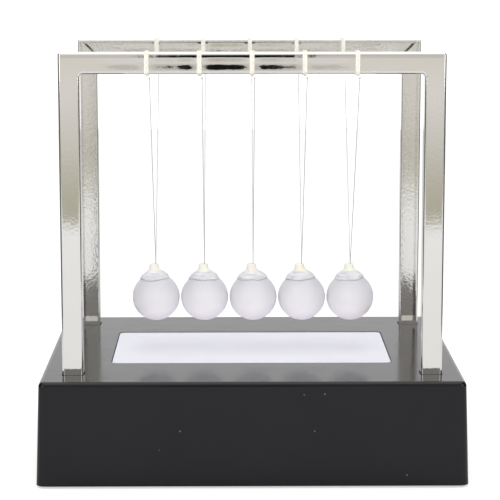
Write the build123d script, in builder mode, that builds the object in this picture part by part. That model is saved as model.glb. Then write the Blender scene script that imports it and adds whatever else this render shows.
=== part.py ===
from build123d import *

import os
from math import radians, tan

# Newton's cradle on a lit base: five clear balls on V-shaped lines between two plated portals.
# Millimetres. +X right, -Y front, +Z up. The origin is the centre of the footprint, on the
# surface that the rubber feet stand on.

# ---- driving sizes ----
BASE_WIDTH = 180.0  # along the flat top
BASE_DEPTH = 145.0
BASE_TOP = 45.4
OVERALL_HEIGHT = 182.4
PORTAL_WIDTH = 162.0
PORTAL_FACE = 58.2  # outward face of either portal, from the middle of the base
PANEL_WIDTH = 122.8
PANEL_DEPTH = 67.5
BALL_DIAMETER = 21.4
BALL_GAP = 0.6
BALL_HEIGHT = 68.8  # centre of a ball above the table
BALL_COUNT = 5
BALL_PITCH = BALL_DIAMETER + BALL_GAP

# ---- fits ----
SNUG = 0.05  # between pieces of one body that touch
SLIDING = 0.3  # between pieces that move past each other, and around fixed inserts
SHANK_GAP = 0.15  # around a screw's shank where it passes through

# ---- base shell ----
DRAFT = 2.0  # degrees
RIM_Z = 1.0
WALL = 2.2
TOP_THICKNESS = 2.5
CORNER_RADIUS = 4.0
TOP_EDGE_RADIUS = 2.0
UNDER_TOP = BASE_TOP - TOP_THICKNESS

# ---- portals ----
BAR_WIDTH = 9.0  # seen from the front
BAR_DEPTH = 7.6
CHANNEL_WALL = 1.2
PORTAL_CORNER = 1.3
PORTAL_EDGE = 1.2
LIP_EDGE = 0.7  # of the open side
POCKET_RADIUS = 1.6
BAR_UNDERSIDE = OVERALL_HEIGHT - BAR_WIDTH
BAR_MIDDLE_Y = PORTAL_FACE - BAR_DEPTH / 2
LEG_MIDDLE_X = (PORTAL_WIDTH - BAR_WIDTH) / 2
POCKET_WIDTH = BAR_WIDTH - 2 * CHANNEL_WALL
POCKET_DEPTH = BAR_DEPTH - CHANNEL_WALL
BAR_MIDDLE_Z = OVERALL_HEIGHT - BAR_WIDTH / 2
RIB_WIDTH = 4.0  # solid rib of the bar behind each winding
SOCKET_DEPTH = 15.0  # leg below the top of the base
FOOT_Z = BASE_TOP - SOCKET_DEPTH
SOLID_ABOVE_BASE = 2.0
FOOT_SOLID = SOCKET_DEPTH + SOLID_ABOVE_BASE
PIN_MARK_RADIUS = 2.8
PIN_MARK_HEIGHT = 0.25
LEG_PIN_Z = (62.3, 108.7)
BAR_PIN_X = 27.6

# ---- leg sockets ----
SOCKET_GAP = 0.3
SOCKET_CORNER = 0.6
SOCKET_WALL = 1.8
SOCKET_FLOOR = 3.0

# ---- windings and lines ----
WRAP_WIDTH = 2.0
WRAP_THICKNESS = 0.55
WRAP_CORNER = 1.35
KNOT_RADIUS = 0.9
KNOT_CENTRE_Z = BAR_UNDERSIDE - 0.2
LINE_OFFSET = 1.0  # a line leaves its winding at the right-hand end
LINE_RADIUS = 0.2
BEAD_RADIUS = 0.5  # tied end of a line, on the swing axis
PIVOT_Z = KNOT_CENTRE_Z - KNOT_RADIUS - SLIDING - BEAD_RADIUS
LINE_KNOT_RADIUS = 0.75
LINE_BEND_RADIUS = 0.7

# ---- caps ----
SKIRT_EDGE = 8.6  # heights above the ball's centre
SKIRT_RADIUS = 6.8
SHOULDER_HEIGHT = 10.2
SHOULDER_RADIUS = 6.2
SHOULDER_ROUND = 0.7
NIPPLE_ROOT = 12.5
NIPPLE_RADIUS = 2.45
NIPPLE_ROUND = 0.8
NIPPLE_TOP = 15.4
NIPPLE_TOP_RADIUS = 2.0
NIPPLE_EDGE = 0.5
LINE_HOLE_RADIUS = 0.85
LINE_HOLE_DEPTH = 2.1
FUNNEL_RADIUS = 1.4
FUNNEL_DEPTH = 1.3

# ---- panel ----
PANEL_RADIUS = 3.0
PANEL_RECESS = 0.2
PANEL_FLANGE = 4.0
FLANGE_THICKNESS = 1.5
PEG_RADIUS = 1.0
PEG_LENGTH = 3.0

# ---- bottom cover ----
COVER_Z = 1.5
COVER_THICKNESS = 2.5
COVER_TOP = COVER_Z + COVER_THICKNESS
FOOT_RADIUS = 6.0
FOOT_RECESS = 0.5
FOOT_X = 72.0
FOOT_Y = 55.0

# ---- screws: radius of the shank, radius and height of the head, length under it.
# A pilot hole is the screw's own size, as the screw is drawn without its thread. ----
SMALL_SCREW = {"shank": 1.3, "head": 2.5, "head_height": 1.6, "length": 8.0}
PORTAL_SCREW = {"shank": 1.5, "head": 2.8, "head_height": 2.2, "length": 12.0}
TINY_SCREW = {"shank": 0.8, "head": 1.6, "head_height": 1.0, "length": 3.0}
HEAD_ROUND = 0.3  # share of a pan head's height
RECESS_LENGTH = 1.2  # cross recess, as shares of the head's radius and height
RECESS_WIDTH = 0.25
RECESS_DEPTH = 0.6
BOSS_RADIUS = 3.2
BOSS_ROOF = 1.0  # above the door screw's pilot hole
COVER_BOSS_X = 80.0
COVER_BOSS_Y = 65.5
PILOT_DEPTH = 10.0

# ---- cells and their bay ----
CELL_RADIUS = 7.25
CELL_BODY = 49.3
CELL_BUTTON = 1.2
CELL_BUTTON_RADIUS = 2.75
CELL_EDGE = 0.6
CELL_PITCH = 15.0
CELL_COUNT = 3
PLATE_THICKNESS = 0.5
PLATE_HEIGHT = 11.0
PLATE_WIDTH = 10.0
SPRING_LENGTH = 5.0
SPRING_RADIUS = 3.8
SPRING_WIRE = 0.4
SPRING_TURNS = 3
BAY_WALL = 1.6
CELL_LENGTH = CELL_BODY + CELL_BUTTON
BAY_LENGTH = CELL_LENGTH + SPRING_LENGTH + 2 * PLATE_THICKNESS + 4 * SNUG
BAY_SPARE = 1.0
BAY_WIDTH = CELL_COUNT * CELL_PITCH + BAY_SPARE
DOOR_THICKNESS = 1.6
DOOR_MARGIN = 2.0  # door beyond the bay on three sides
DOOR_EAR = 11.0  # and on the side of its screw
DOOR_GAP = 0.3
DOOR_CORNER = 2.0
TAB_LENGTH = 2.2
TAB_WIDTH = 6.0
TAB_THICKNESS = 0.8
CELL_Z = COVER_Z + DOOR_THICKNESS + 2 * SNUG + CELL_RADIUS
BAY_CEILING = CELL_Z + CELL_RADIUS + SLIDING
BAY_RIB_LENGTH = 39.4
BAY_RIB_WIDTH = 1.5
BAY_RIB_HEIGHT = 3.0
DOOR_SCREW_REACH = 7.0  # past the end of the bay
DOOR_SCREW_X = BAY_LENGTH / 2 + DOOR_SCREW_REACH
DOOR_SCREW = {"shank": 1.1, "head": 2.0, "head_height": 1.1, "length": 6.0}

# ---- light board ----
BOARD_WIDTH = 104.0
BOARD_DEPTH = 44.0
BOARD_THICKNESS = 1.6
BOARD_Z = 26.0
POST_RADIUS = 3.0
POST_X = 45.0
POST_Y = 15.0
LED_SIZE = 5.0
LED_HEIGHT = 1.6
LED_CORNER = 0.4
LENS_RADIUS = 1.9
LENS_DEPTH = 0.5
LENS_TAPER = 20  # degrees
LED_PITCH_X = 22.0
LED_PITCH_Y = 14.0
LED_COLUMNS = 4
LED_ROWS = 3
RESISTOR = (3.2, 1.6, 0.6)  # one between each two columns of LEDs

# ---- power switch, in the rear wall ----
SWITCH_X = 45.0
SWITCH_Z = 20.0
THUMB_POCKET = (20.0, 12.0)  # width and height
POCKET_FLOOR_Y = 71.2
POCKET_FLOOR_THICKNESS = 1.5
SWITCH_FACE_Y = POCKET_FLOOR_Y - POCKET_FLOOR_THICKNESS
SWITCH_BLOCK = (34.0, 16.0)  # width and height of the thickened patch of wall
SWITCH_BLOCK_BACK = 72.0
SWITCH_TRAVEL = 3.0
NIB_SIZE = 3.0
NIB_REACH = 1.6  # past the floor of the thumb pocket
NIB_GROOVE_WIDTH = 0.36
NIB_GROOVE_DEPTH = 0.3
SWITCH_SHELL = (14.0, 8.0, 4.0)  # width, height and depth, as the next ones
SWITCH_EAR = (32.0, 8.0, 1.0)
SLIDER_PLATE = (8.0, 5.0, 1.4)
TERMINAL = (1.6, 0.6, 3.0)
TERMINAL_PITCH = 4.0
SLIDER_BAY_DEPTH = 2.0
SWITCH_SCREW_X = 13.0
SWITCH_PILOT = 3.2  # through the ear and into the wall

# ---- wires ----
WIRE_RADIUS = 0.5
WIRE_HOLE_GAP = 0.15


def at_corners(x, y):
    """The four points at plus and minus x and y."""
    return [(side_x * x, side_y * y) for side_x in (-1, 1) for side_y in (-1, 1)]


def wall_spread(z):
    """How far the drafted wall stands out past the top edge at height z."""
    return (BASE_TOP - z) * tan(radians(DRAFT))


def save(piece, name):
    piece.part.label = name
    export_step(piece.part, f"parts/{name}.step")


def facing(points, z, direction):
    """Places at points of height z whose own +Z runs along direction."""
    return [Location(Plane((x, y, z), z_dir=direction)) for x, y in points]


# ---- places that several pieces share ----
PLATE_Z = CELL_Z  # contact plates are centred on the cells
CELL_Y = [(index - (CELL_COUNT - 1) / 2) * CELL_PITCH for index in range(CELL_COUNT)]
LINE_X = [(index - (BALL_COUNT - 1) / 2) * BALL_PITCH for index in range(BALL_COUNT)]
LEG_SPOTS = at_corners(LEG_MIDDLE_X, BAR_MIDDLE_Y)
PIN_MARKS = [(hand * LEG_MIDDLE_X, z) for hand in (-1, 1) for z in LEG_PIN_Z]
PIN_MARKS += [(hand * BAR_PIN_X, BAR_MIDDLE_Z) for hand in (-1, 1)]
PEG_SPOTS = at_corners(PANEL_WIDTH / 2 + PANEL_FLANGE / 2, PANEL_DEPTH / 4)
COVER_SCREW_PLACES = facing(at_corners(COVER_BOSS_X, COVER_BOSS_Y), COVER_Z, (0, 0, 1))
BOARD_SCREW_PLACES = facing(at_corners(POST_X, POST_Y), BOARD_Z + BOARD_THICKNESS, (0, 0, -1))
DOOR_LENGTH = BAY_LENGTH + DOOR_MARGIN + DOOR_EAR
DOOR_WIDTH = BAY_WIDTH + 2 * DOOR_MARGIN
DOOR_MIDDLE_X = (DOOR_EAR - DOOR_MARGIN) / 2
DOOR_END_X = DOOR_MIDDLE_X - DOOR_LENGTH / 2 - DOOR_GAP
TAB_Z = COVER_Z + DOOR_THICKNESS / 2 + DOOR_GAP
SWITCH_EAR_BACK = SWITCH_FACE_Y - SWITCH_EAR[2]
SWITCH_SCREW_PLACES = [
    Location(Plane((SWITCH_X + hand * SWITCH_SCREW_X, SWITCH_EAR_BACK, SWITCH_Z), z_dir=(0, 1, 0)))
    for hand in (-1, 1)
]
TERMINAL_TIP_Y = SWITCH_FACE_Y - SWITCH_SHELL[2] - TERMINAL[2]

# ---- routes of the three wires, and the radius at each of their corners ----
LEAD_START_X = BAY_LENGTH / 2 - SNUG
BATTERY_LEAD = [
    (LEAD_START_X, CELL_PITCH, PLATE_Z),
    (38, CELL_PITCH, PLATE_Z),
    (40, 28, PLATE_Z),
    (SWITCH_X + TERMINAL_PITCH, 47, 17),
    (SWITCH_X + TERMINAL_PITCH, TERMINAL_TIP_Y, SWITCH_Z),
]
BATTERY_LEAD_RADII = (4, 10, 10)
SWITCH_LEAD = [
    (SWITCH_X, TERMINAL_TIP_Y, SWITCH_Z),
    (SWITCH_X, 50, 19.5),
    (38, 34, 18),
    (34, 18, 18),
    (34, 18, BOARD_Z),
]
SWITCH_LEAD_RADII = (10, 10, 3.5)
BOARD_LEAD = [
    (-LEAD_START_X, -CELL_PITCH, PLATE_Z),
    (-38, -CELL_PITCH, PLATE_Z),
    (-38, -CELL_PITCH, BOARD_Z),
]
BOARD_LEAD_RADII = (4,)


def cross_recess(size):
    """Cuts a cross into the head's face at the places in force, along their +Z."""
    for turn in (0, 90):
        Box(
            size["head"] * RECESS_LENGTH,
            size["head"] * RECESS_WIDTH,
            size["head_height"] * RECESS_DEPTH,
            rotation=(0, 0, turn),
            align=(Align.CENTER, Align.CENTER, Align.MIN),
            mode=Mode.SUBTRACT,
        )


def pan_screws(places, size):
    """Pan-head screws whose heads sit on each place and whose shanks run along its +Z."""
    with BuildPart() as screws:
        with Locations(*places):
            Cylinder(size["shank"], size["length"], align=(Align.CENTER, Align.CENTER, Align.MIN))
            Cylinder(size["head"], size["head_height"], align=(Align.CENTER, Align.CENTER, Align.MAX))
        heads = screws.edges().filter_by(GeomType.CIRCLE).filter_by(
            lambda edge: abs(edge.radius - size["head"]) < SNUG
        )
        fillet(heads, size["head_height"] * HEAD_ROUND)
        with Locations(*[place * Pos(0, 0, -size["head_height"]) for place in places]):
            cross_recess(size)
    return screws


def flat_screws(places, size):
    """Countersunk screws whose head faces lie on each place and whose shanks run along its +Z."""
    with BuildPart() as screws:
        with Locations(*places):
            Cylinder(size["shank"], size["length"], align=(Align.CENTER, Align.CENTER, Align.MIN))
            Cone(
                size["head"],
                size["shank"],
                size["head_height"],
                align=(Align.CENTER, Align.CENTER, Align.MIN),
            )
            cross_recess(size)
    return screws


def sink(size, depth):
    """Cuts a countersunk clearance hole at the places in force."""
    Cylinder(
        size["shank"] + SHANK_GAP,
        depth,
        align=(Align.CENTER, Align.CENTER, Align.MIN),
        mode=Mode.SUBTRACT,
    )
    Cone(
        size["head"] + SNUG,
        size["shank"] + SNUG,
        size["head_height"],
        align=(Align.CENTER, Align.CENTER, Align.MIN),
        mode=Mode.SUBTRACT,
    )


# ---------------------------------------------------------------- base


def make_base_housing():
    width = BASE_WIDTH + 2 * wall_spread(RIM_Z)
    depth = BASE_DEPTH + 2 * wall_spread(RIM_Z)
    with BuildPart() as housing:
        with BuildSketch(Plane.XY.offset(RIM_Z)):
            RectangleRounded(width, depth, CORNER_RADIUS)
        extrude(amount=BASE_TOP - RIM_Z, taper=DRAFT)
        fillet(housing.faces().sort_by(Axis.Z)[-1].edges(), TOP_EDGE_RADIUS)
        # hollow
        with BuildSketch(Plane.XY.offset(RIM_Z)):
            RectangleRounded(width - 2 * WALL, depth - 2 * WALL, CORNER_RADIUS - WALL)
        extrude(amount=UNDER_TOP - RIM_Z, taper=DRAFT, mode=Mode.SUBTRACT)
        # leg sockets, then their slots and the screw holes in their floors
        with BuildSketch(Plane.XY.offset(FOOT_Z - SOCKET_FLOOR)):
            with Locations(*LEG_SPOTS):
                Rectangle(
                    BAR_WIDTH + 2 * (SOCKET_GAP + SOCKET_WALL),
                    BAR_DEPTH + 2 * (SOCKET_GAP + SOCKET_WALL),
                )
        extrude(amount=SOCKET_DEPTH + SOCKET_FLOOR - SNUG)
        with BuildSketch(Plane.XY.offset(FOOT_Z)):
            with Locations(*LEG_SPOTS):
                RectangleRounded(BAR_WIDTH + 2 * SOCKET_GAP, BAR_DEPTH + 2 * SOCKET_GAP, SOCKET_CORNER)
        extrude(amount=SOCKET_DEPTH, mode=Mode.SUBTRACT)
        with Locations(*facing(LEG_SPOTS, FOOT_Z - SOCKET_FLOOR, (0, 0, 1))):
            Cylinder(
                PORTAL_SCREW["shank"] + SHANK_GAP,
                SOCKET_FLOOR,
                align=(Align.CENTER, Align.CENTER, Align.MIN),
                mode=Mode.SUBTRACT,
            )
        # window, and the pegs that hold the panel's flange
        with BuildSketch(Plane.XY.offset(UNDER_TOP)):
            RectangleRounded(PANEL_WIDTH + 2 * SLIDING, PANEL_DEPTH + 2 * SLIDING, PANEL_RADIUS)
        extrude(amount=TOP_THICKNESS, mode=Mode.SUBTRACT)
        with BuildSketch(Plane.XY.offset(UNDER_TOP - PEG_LENGTH)):
            with Locations(*PEG_SPOTS):
                Circle(PEG_RADIUS)
        extrude(amount=PEG_LENGTH + SNUG)
        # bosses for the cover's screws
        with BuildSketch(Plane.XY.offset(COVER_TOP)):
            with Locations(*at_corners(COVER_BOSS_X, COVER_BOSS_Y)):
                Circle(BOSS_RADIUS)
        extrude(amount=UNDER_TOP - COVER_TOP + SNUG)
        with BuildSketch(Plane.XY.offset(COVER_TOP)):
            with Locations(*at_corners(COVER_BOSS_X, COVER_BOSS_Y)):
                Circle(SMALL_SCREW["shank"] + SNUG)
        extrude(amount=PILOT_DEPTH, mode=Mode.SUBTRACT)
        # thumb pocket for the switch, in a thickened patch of the rear wall
        with Locations((SWITCH_X, SWITCH_FACE_Y, SWITCH_Z)):
            Box(
                SWITCH_BLOCK[0],
                SWITCH_BLOCK_BACK - SWITCH_FACE_Y,
                SWITCH_BLOCK[1],
                align=(Align.CENTER, Align.MIN, Align.CENTER),
            )
        with Locations((SWITCH_X, POCKET_FLOOR_Y, SWITCH_Z)):
            Box(
                THUMB_POCKET[0],
                WALL * 2,
                THUMB_POCKET[1],
                align=(Align.CENTER, Align.MIN, Align.CENTER),
                mode=Mode.SUBTRACT,
            )
        with Locations((SWITCH_X, SWITCH_FACE_Y, SWITCH_Z)):
            Box(
                SWITCH_TRAVEL + NIB_SIZE + 2 * SLIDING,
                POCKET_FLOOR_THICKNESS,
                NIB_SIZE + 2 * SLIDING,
                align=(Align.CENTER, Align.MIN, Align.CENTER),
                mode=Mode.SUBTRACT,
            )
        with Locations(*SWITCH_SCREW_PLACES):
            Cylinder(
                TINY_SCREW["shank"] + SNUG,
                SWITCH_PILOT,
                align=(Align.CENTER, Align.CENTER, Align.MIN),
                mode=Mode.SUBTRACT,
            )
    return housing


def make_diffuser_panel():
    top = BASE_TOP - PANEL_RECESS
    with BuildPart() as panel:
        with BuildSketch(Plane.XY.offset(UNDER_TOP)):
            RectangleRounded(PANEL_WIDTH, PANEL_DEPTH, PANEL_RADIUS - SLIDING)
        extrude(amount=top - UNDER_TOP)
        fillet(panel.faces().sort_by(Axis.Z)[-1].edges(), PANEL_RECESS)
        with BuildSketch(Plane.XY.offset(UNDER_TOP)):
            RectangleRounded(
                PANEL_WIDTH + 2 * PANEL_FLANGE, PANEL_DEPTH + 2 * PANEL_FLANGE, PANEL_RADIUS
            )
        extrude(amount=-FLANGE_THICKNESS)
        with BuildSketch(Plane.XY.offset(UNDER_TOP)):
            with Locations(*PEG_SPOTS):
                Circle(PEG_RADIUS + SNUG)
        extrude(amount=-FLANGE_THICKNESS, mode=Mode.SUBTRACT)
    return panel


def make_bottom_cover():
    width = BASE_WIDTH + 2 * (wall_spread(COVER_TOP) - WALL - SLIDING)
    depth = BASE_DEPTH + 2 * (wall_spread(COVER_TOP) - WALL - SLIDING)
    with BuildPart() as cover:
        with BuildSketch(Plane.XY.offset(COVER_Z)):
            RectangleRounded(width, depth, CORNER_RADIUS - WALL)
        extrude(amount=COVER_THICKNESS)
        # battery bay
        with BuildSketch(Plane.XY.offset(COVER_TOP)):
            Rectangle(BAY_LENGTH + 2 * BAY_WALL, BAY_WIDTH + 2 * BAY_WALL)
        extrude(amount=BAY_CEILING + BAY_WALL - COVER_TOP)
        with BuildSketch(Plane.XY.offset(COVER_Z)):
            Rectangle(BAY_LENGTH, BAY_WIDTH)
        extrude(amount=BAY_CEILING - COVER_Z, mode=Mode.SUBTRACT)
        with Locations(*[(0, side * CELL_PITCH / 2, BAY_CEILING) for side in (-1, 1)]):
            Box(
                BAY_RIB_LENGTH,
                BAY_RIB_WIDTH,
                BAY_RIB_HEIGHT,
                align=(Align.CENTER, Align.CENTER, Align.MAX),
            )
        # rebate and tab slots for the door
        with BuildSketch(Plane.XY.offset(COVER_Z)):
            with Locations((DOOR_MIDDLE_X, 0)):
                RectangleRounded(DOOR_LENGTH + 2 * DOOR_GAP, DOOR_WIDTH + 2 * DOOR_GAP, DOOR_CORNER)
        extrude(amount=DOOR_THICKNESS + SNUG, mode=Mode.SUBTRACT)
        with Locations(*[(DOOR_END_X, side * CELL_PITCH, TAB_Z) for side in (-1, 1)]):
            Box(
                TAB_LENGTH + DOOR_GAP,
                TAB_WIDTH + 2 * DOOR_GAP,
                TAB_THICKNESS + DOOR_GAP,
                align=(Align.MAX, Align.CENTER, Align.CENTER),
                mode=Mode.SUBTRACT,
            )
        # posts for the light board and the door's screw
        with BuildSketch(Plane.XY.offset(COVER_TOP)):
            with Locations(*at_corners(POST_X, POST_Y)):
                Circle(POST_RADIUS)
        extrude(amount=BOARD_Z - COVER_TOP)
        with Locations(*facing(at_corners(POST_X, POST_Y), BOARD_Z, (0, 0, -1))):
            Cylinder(
                SMALL_SCREW["shank"] + SNUG,
                PILOT_DEPTH,
                align=(Align.CENTER, Align.CENTER, Align.MIN),
                mode=Mode.SUBTRACT,
            )
        with Locations((DOOR_SCREW_X, 0, COVER_Z + DOOR_THICKNESS + SNUG)):
            Cylinder(
                BOSS_RADIUS,
                DOOR_SCREW["length"],
                align=(Align.CENTER, Align.CENTER, Align.MIN),
            )
            Cylinder(
                DOOR_SCREW["shank"] + SNUG,
                DOOR_SCREW["length"] - BOSS_ROOF,
                align=(Align.CENTER, Align.CENTER, Align.MIN),
                mode=Mode.SUBTRACT,
            )
        # screw holes, foot recesses and the two holes for the battery wires
        with Locations(*COVER_SCREW_PLACES):
            sink(SMALL_SCREW, COVER_THICKNESS)
        with BuildSketch(Plane.XY.offset(COVER_Z)):
            with Locations(*at_corners(FOOT_X, FOOT_Y)):
                Circle(FOOT_RADIUS + SNUG)
        extrude(amount=FOOT_RECESS, mode=Mode.SUBTRACT)
        with Locations(*[(side * BAY_LENGTH / 2, side * CELL_PITCH, PLATE_Z) for side in (-1, 1)]):
            Cylinder(
                WIRE_RADIUS + WIRE_HOLE_GAP,
                3 * BAY_WALL,
                rotation=(0, 90, 0),
                mode=Mode.SUBTRACT,
            )
    return cover


def make_battery_door():
    with BuildPart() as door:
        with BuildSketch(Plane.XY.offset(COVER_Z)):
            with Locations((DOOR_MIDDLE_X, 0)):
                RectangleRounded(DOOR_LENGTH, DOOR_WIDTH, DOOR_CORNER - DOOR_GAP)
        extrude(amount=DOOR_THICKNESS)
        with Locations(*[(DOOR_END_X + DOOR_GAP, side * CELL_PITCH, TAB_Z) for side in (-1, 1)]):
            Box(
                TAB_LENGTH,
                TAB_WIDTH,
                TAB_THICKNESS,
                align=(Align.MAX, Align.CENTER, Align.CENTER),
            )
        with Locations((DOOR_SCREW_X, 0, COVER_Z)):
            sink(DOOR_SCREW, DOOR_THICKNESS)
    return door


def make_rubber_feet():
    with BuildPart() as feet:
        with BuildSketch(Plane.XY):
            with Locations(*at_corners(FOOT_X, FOOT_Y)):
                Circle(FOOT_RADIUS)
        extrude(amount=COVER_Z + FOOT_RECESS)
        fillet(feet.edges().group_by(Axis.Z)[0], FOOT_RECESS)
    return feet


# ---------------------------------------------------------------- light and power


def make_led_board():
    with BuildPart() as board:
        with BuildSketch(Plane.XY.offset(BOARD_Z)):
            Rectangle(BOARD_WIDTH, BOARD_DEPTH)
            with Locations(*at_corners(POST_X, POST_Y)):
                Circle(SMALL_SCREW["shank"] + SNUG, mode=Mode.SUBTRACT)
        extrude(amount=BOARD_THICKNESS)
    return board


def make_leds():
    with BuildPart() as leds:
        with BuildSketch(Plane.XY.offset(BOARD_Z + BOARD_THICKNESS)):
            with GridLocations(LED_PITCH_X, LED_PITCH_Y, LED_COLUMNS, LED_ROWS):
                RectangleRounded(LED_SIZE, LED_SIZE, LED_CORNER)
        extrude(amount=LED_HEIGHT)
        with BuildSketch(Plane.XY.offset(BOARD_Z + BOARD_THICKNESS + LED_HEIGHT)):
            with GridLocations(LED_PITCH_X, LED_PITCH_Y, LED_COLUMNS, LED_ROWS):
                Circle(LENS_RADIUS)
        extrude(amount=-LENS_DEPTH, taper=LENS_TAPER, mode=Mode.SUBTRACT)
    return leds


def make_chip_resistors():
    with BuildPart() as resistors:
        with Locations((0, 0, BOARD_Z + BOARD_THICKNESS)):
            with GridLocations(LED_PITCH_X, LED_PITCH_Y, LED_COLUMNS - 1, 1):
                Box(*RESISTOR, align=(Align.CENTER, Align.CENTER, Align.MIN))
    return resistors


def make_aa_cell(index):
    """One cell along X; neighbouring cells point opposite ways."""
    direction = cell_direction(index)
    start = Location(Plane((-direction * cell_foot_x(), CELL_Y[index], CELL_Z), z_dir=(direction, 0, 0)))
    with BuildPart() as cell:
        with Locations(start):
            Cylinder(CELL_RADIUS, CELL_BODY, align=(Align.CENTER, Align.CENTER, Align.MIN))
        fillet(cell.edges().filter_by(GeomType.CIRCLE), CELL_EDGE)
        with Locations(start * Pos(0, 0, CELL_BODY)):
            Cylinder(
                CELL_BUTTON_RADIUS, CELL_BUTTON, align=(Align.CENTER, Align.CENTER, Align.MIN)
            )
    return cell


def cell_direction(index):
    """+1 where the cell's button points to +X: the outer two cells."""
    return 1 if index % 2 == 0 else -1


def cell_foot_x():
    """How far the flat end of a cell stands from the middle of the bay."""
    return BAY_LENGTH / 2 - PLATE_THICKNESS - 2 * SNUG - SPRING_LENGTH


def make_contact_plates():
    """Single plates at the two ends of the chain of cells, and one bridging plate on each side."""
    inset = BAY_LENGTH / 2 - SNUG
    plates_y = {-1: [(-CELL_PITCH, PLATE_WIDTH), (CELL_PITCH / 2, PLATE_WIDTH + CELL_PITCH)]}
    plates_y[1] = [(CELL_PITCH, PLATE_WIDTH), (-CELL_PITCH / 2, PLATE_WIDTH + CELL_PITCH)]
    with BuildPart() as plates:
        for side, rows in plates_y.items():
            for middle_y, width in rows:
                with Locations((side * (inset - PLATE_THICKNESS / 2), middle_y, PLATE_Z)):
                    Box(PLATE_THICKNESS, width, PLATE_HEIGHT)
    return plates


def make_contact_springs():
    """A coil against the flat end of each cell."""
    coil_length = SPRING_LENGTH - 2 * SPRING_WIRE - 2 * SNUG
    with BuildPart() as springs:
        for index in range(CELL_COUNT):
            side = -cell_direction(index)
            start_x = side * (cell_foot_x() + SPRING_WIRE + SNUG)
            start = (start_x, CELL_Y[index], CELL_Z)
            with BuildLine() as coil:
                Helix(
                    coil_length / SPRING_TURNS,
                    coil_length,
                    SPRING_RADIUS,
                    center=start,
                    direction=(side, 0, 0),
                )
            with BuildSketch(coil.line ^ 0):
                Circle(SPRING_WIRE)
            sweep(path=coil.line, is_frenet=True)
    return springs


def make_switch_body():
    with BuildPart() as body:
        with Locations((SWITCH_X, SWITCH_FACE_Y, SWITCH_Z)):
            Box(
                SWITCH_SHELL[0],
                SWITCH_SHELL[2],
                SWITCH_SHELL[1],
                align=(Align.CENTER, Align.MAX, Align.CENTER),
            )
            Box(
                SWITCH_EAR[0],
                SWITCH_EAR[2],
                SWITCH_EAR[1],
                align=(Align.CENTER, Align.MAX, Align.CENTER),
            )
            Box(
                SLIDER_PLATE[0] + SWITCH_TRAVEL + 2 * SLIDING,
                SLIDER_BAY_DEPTH,
                SLIDER_PLATE[1] + 2 * SLIDING,
                align=(Align.CENTER, Align.MAX, Align.CENTER),
                mode=Mode.SUBTRACT,
            )
        with Locations(*SWITCH_SCREW_PLACES):
            Cylinder(
                TINY_SCREW["shank"] + SNUG,
                SWITCH_EAR[2],
                align=(Align.CENTER, Align.CENTER, Align.MIN),
                mode=Mode.SUBTRACT,
            )
    return body


def make_switch_terminals():
    shell_back = SWITCH_FACE_Y - SWITCH_SHELL[2]
    with BuildPart() as terminals:
        for place in (-1, 0, 1):
            with Locations((SWITCH_X + place * TERMINAL_PITCH, shell_back, SWITCH_Z)):
                Box(
                    TERMINAL[0],
                    TERMINAL[2],
                    TERMINAL[1],
                    align=(Align.CENTER, Align.MAX, Align.CENTER),
                )
    return terminals


def make_switch_slider():
    """The slider at its off end; its nib stands in the thumb pocket."""
    middle_x = SWITCH_X - SWITCH_TRAVEL / 2
    plate_y = SWITCH_FACE_Y - SLIDING
    with BuildPart() as slider:
        with Locations((middle_x, plate_y, SWITCH_Z)):
            Box(
                SLIDER_PLATE[0],
                SLIDER_PLATE[2],
                SLIDER_PLATE[1],
                align=(Align.CENTER, Align.MAX, Align.CENTER),
            )
            Box(
                NIB_SIZE,
                POCKET_FLOOR_THICKNESS + SLIDING + NIB_REACH,
                NIB_SIZE,
                align=(Align.CENTER, Align.MIN, Align.CENTER),
            )
        tip = slider.faces().sort_by(Axis.Y)[-1]
        with BuildSketch(Plane(tip, x_dir=(1, 0, 0))):
            with GridLocations(NIB_SIZE / 3, 1, 2, 1):
                Rectangle(NIB_GROOVE_WIDTH, NIB_SIZE)
        extrude(amount=-NIB_GROOVE_DEPTH, mode=Mode.SUBTRACT)
    return slider


def make_wire(points, radii):
    """An insulated wire along straight runs joined by arcs."""
    with BuildPart() as wire:
        with BuildLine() as route:
            FilletPolyline(*points, radius=radii)
        with BuildSketch(route.line ^ 0):
            Circle(WIRE_RADIUS)
        sweep(path=route.line)
    return wire


# ---------------------------------------------------------------- portals


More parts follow.
